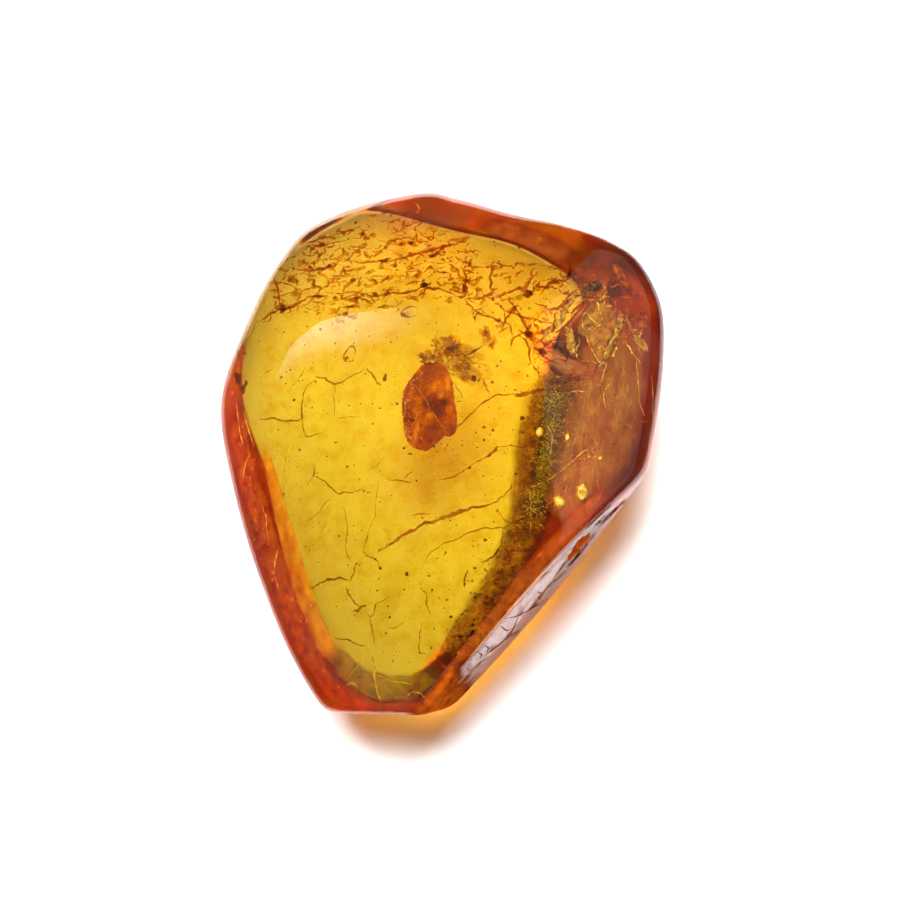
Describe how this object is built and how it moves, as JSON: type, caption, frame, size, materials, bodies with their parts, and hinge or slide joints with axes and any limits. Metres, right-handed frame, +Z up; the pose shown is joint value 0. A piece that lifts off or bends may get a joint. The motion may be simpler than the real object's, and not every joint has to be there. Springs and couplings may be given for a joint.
{
  "type": "insect in amber",
  "caption": "Tumbled piece of clear honey amber with a small insect sealed inside, flat underneath so that it lies on a surface.",
  "frame": {"origin": "middle of the flat that the stone rests on", "axes": "+Z up out of the resting flat; +Y along the stone's length, towards its broad end; -Y is the narrow, cut-off end"},
  "size_m": [0.0324, 0.0402, 0.0126],
  "materials": {
    "amber": "clear fossil resin, tumbled and part-polished"
  },
  "bodies": {
    "root": {"amber": "amber"}
  },
  "joints": []
}
